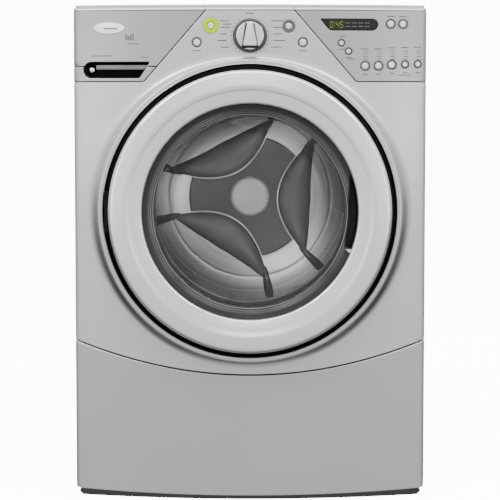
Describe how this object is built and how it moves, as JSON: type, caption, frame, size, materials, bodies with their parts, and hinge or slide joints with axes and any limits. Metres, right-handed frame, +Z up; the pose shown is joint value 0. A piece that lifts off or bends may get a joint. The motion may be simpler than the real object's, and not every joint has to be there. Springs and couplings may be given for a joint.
{
  "type": "front load washing machine",
  "caption": "Free-standing front load washing machine with a bowed front, a round glass door, a belt-driven drum in a sprung tub, a detergent drawer, a dial and push buttons.",
  "frame": {"origin": "on the floor, under the middle of the overall box", "axes": "+X to the right seen from the front, the front faces -Y, +Z up"},
  "size_m": [0.686, 0.79, 0.965],
  "materials": {
    "silver_paint": "silver metallic paint",
    "toe_paint": "silver metallic paint, darker",
    "side_paint": "silver metallic paint",
    "bright_ring": "bright satin silver",
    "dark_plastic": "moulded, fine texture",
    "grey_plastic": "moulded, fine texture",
    "pale_plastic": "moulded",
    "button_plastic": "satin silver",
    "start_plastic": "yellow-green",
    "display_black": "black gloss",
    "door_glass": "smoked",
    "rubber": "dull",
    "stainless": "brushed",
    "galvanised": "zinc coated",
    "cast_alloy": "as cast",
    "concrete": "cast, rough",
    "motor_steel": "dark coated end bells",
    "circuit_green": "board in a sleeve",
    "brass": "machined"
  },
  "bodies": {
    "cabinet": {"cabinet_wrap": "side_paint", "rear_access_panel": "galvanised", "top_panel": "side_paint", "front_panel": "silver_paint", "toe_panel": "toe_paint", "drawer_surround": "silver_paint", "control_panel": "silver_paint", "display_window": "display_black", "base_frame": "galvanised", "door_lock": "dark_plastic", "bellows": "rubber", "dispenser_housing": "pale_plastic", "control_board": "circuit_green", "drain_pump": "dark_plastic", "hinge_bracket": "galvanised", "suspension_spring_left": "stainless", "suspension_spring_right": "stainless", "damper_tube_left": "dark_plastic", "damper_tube_right": "dark_plastic", "water_inlet_valve": "brass"},
    "tub": {"tub_front": "pale_plastic", "tub_rear": "pale_plastic", "counterweight_front": "concrete", "motor_body": "motor_steel", "drum_bearing": "stainless", "drive_belt": "rubber", "damper_rod_left": "stainless", "damper_rod_right": "stainless"},
    "drum": {"drum_shell": "stainless", "baffle_1": "grey_plastic", "baffle_2": "grey_plastic", "baffle_3": "grey_plastic", "drum_spider": "cast_alloy", "drum_pulley": "cast_alloy"},
    "motor_rotor": {"motor_pulley": "cast_alloy"},
    "door": {"door_ring": "bright_ring", "door_inner_frame": "grey_plastic", "door_glass": "door_glass", "door_handle": "dark_plastic", "hinge_arm": "galvanised"},
    "drawer": {"drawer_front": "silver_paint", "drawer_tray": "pale_plastic"},
    "knob": {"cycle_knob": "bright_ring"},
    "start_button": {"start_button": "start_plastic"},
    "drum_light_button": {"drum_light_button": "button_plastic"},
    "pause_button": {"pause_button": "button_plastic"},
    "power_button": {"power_button": "button_plastic"},
    "delay_up_button": {"delay_up_button": "button_plastic"},
    "delay_down_button": {"delay_down_button": "button_plastic"},
    "signal_button": {"signal_button": "button_plastic"},
    "lock_button": {"lock_button": "button_plastic"},
    "temperature_button": {"temperature_button": "button_plastic"},
    "spin_button": {"spin_button": "button_plastic"},
    "soil_button": {"soil_button": "button_plastic"},
    "rinse_button": {"rinse_button": "button_plastic"},
    "prewash_button": {"prewash_button": "button_plastic"},
    "levelling_foot_front_left": {"levelling_foot_front_left": "rubber"},
    "levelling_foot_front_right": {"levelling_foot_front_right": "rubber"},
    "levelling_foot_rear_left": {"levelling_foot_rear_left": "rubber"},
    "levelling_foot_rear_right": {"levelling_foot_rear_right": "rubber"}
  },
  "joints": [
    {"name": "tub_bounce", "type": "slide", "parent": "cabinet", "child": "tub", "axis": [0, 0, 1], "range_m": [-0.008, 0.008], "stiffness_N_per_m": 20000, "springref_m": 0.03, "deforming": ["suspension_spring_left", "suspension_spring_right"]},
    {"name": "drum_spin", "type": "hinge", "parent": "tub", "child": "drum", "pos_m": [0, 0, 0.567], "axis": [0, -1, 0], "continuous": true},
    {"name": "motor_spin", "type": "hinge", "parent": "tub", "child": "motor_rotor", "pos_m": [0, 0.3, 0.17], "axis": [0, -1, 0], "continuous": true},
    {"name": "door_hinge", "type": "hinge", "parent": "cabinet", "child": "door", "pos_m": [-0.276, -0.368, 0.567], "axis": [0, 0, -1], "range_deg": [0, 120]},
    {"name": "drawer_slide", "type": "slide", "parent": "cabinet", "child": "drawer", "axis": [0, -1, 0], "range_m": [0, 0.24]},
    {"name": "knob_turn", "type": "hinge", "parent": "cabinet", "child": "knob", "pos_m": [0, -0.355, 0.905], "axis": [0, -1, 0], "continuous": true},
    {"name": "start_press", "type": "slide", "parent": "cabinet", "child": "start_button", "axis": [0, 1, 0], "range_m": [0, 0.0015], "stiffness_N_per_m": 600, "springref_m": -0.001},
    {"name": "drum_light_press", "type": "slide", "parent": "cabinet", "child": "drum_light_button", "axis": [0, 1, 0], "range_m": [0, 0.0015], "stiffness_N_per_m": 600, "springref_m": -0.001},
    {"name": "pause_press", "type": "slide", "parent": "cabinet", "child": "pause_button", "axis": [0, 1, 0], "range_m": [0, 0.0015], "stiffness_N_per_m": 600, "springref_m": -0.001},
    {"name": "power_press", "type": "slide", "parent": "cabinet", "child": "power_button", "axis": [0, 1, 0], "range_m": [0, 0.0015], "stiffness_N_per_m": 600, "springref_m": -0.001},
    {"name": "delay_up_press", "type": "slide", "parent": "cabinet", "child": "delay_up_button", "axis": [0, 1, 0], "range_m": [0, 0.0015], "stiffness_N_per_m": 600, "springref_m": -0.001},
    {"name": "delay_down_press", "type": "slide", "parent": "cabinet", "child": "delay_down_button", "axis": [0, 1, 0], "range_m": [0, 0.0015], "stiffness_N_per_m": 600, "springref_m": -0.001},
    {"name": "signal_press", "type": "slide", "parent": "cabinet", "child": "signal_button", "axis": [0, 1, 0], "range_m": [0, 0.0015], "stiffness_N_per_m": 600, "springref_m": -0.001},
    {"name": "lock_press", "type": "slide", "parent": "cabinet", "child": "lock_button", "axis": [0, 1, 0], "range_m": [0, 0.0015], "stiffness_N_per_m": 600, "springref_m": -0.001},
    {"name": "temperature_press", "type": "slide", "parent": "cabinet", "child": "temperature_button", "axis": [0, 1, 0], "range_m": [0, 0.0015], "stiffness_N_per_m": 600, "springref_m": -0.001},
    {"name": "spin_press", "type": "slide", "parent": "cabinet", "child": "spin_button", "axis": [0, 1, 0], "range_m": [0, 0.0015], "stiffness_N_per_m": 600, "springref_m": -0.001},
    {"name": "soil_press", "type": "slide", "parent": "cabinet", "child": "soil_button", "axis": [0, 1, 0], "range_m": [0, 0.0015], "stiffness_N_per_m": 600, "springref_m": -0.001},
    {"name": "rinse_press", "type": "slide", "parent": "cabinet", "child": "rinse_button", "axis": [0, 1, 0], "range_m": [0, 0.0015], "stiffness_N_per_m": 600, "springref_m": -0.001},
    {"name": "prewash_press", "type": "slide", "parent": "cabinet", "child": "prewash_button", "axis": [0, 1, 0], "range_m": [0, 0.0015], "stiffness_N_per_m": 600, "springref_m": -0.001},
    {"name": "foot_front_left_screw", "type": "slide", "parent": "cabinet", "child": "levelling_foot_front_left", "axis": [0, 0, -1], "range_m": [0, 0.02]},
    {"name": "foot_front_right_screw", "type": "slide", "parent": "cabinet", "child": "levelling_foot_front_right", "axis": [0, 0, -1], "range_m": [0, 0.02]},
    {"name": "foot_rear_left_screw", "type": "slide", "parent": "cabinet", "child": "levelling_foot_rear_left", "axis": [0, 0, -1], "range_m": [0, 0.02]},
    {"name": "foot_rear_right_screw", "type": "slide", "parent": "cabinet", "child": "levelling_foot_rear_right", "axis": [0, 0, -1], "range_m": [0, 0.02]}
  ],
  "couplings": [
    {"joint": "motor_spin", "follows": "drum_spin", "ratio": 11.2}
  ]
}
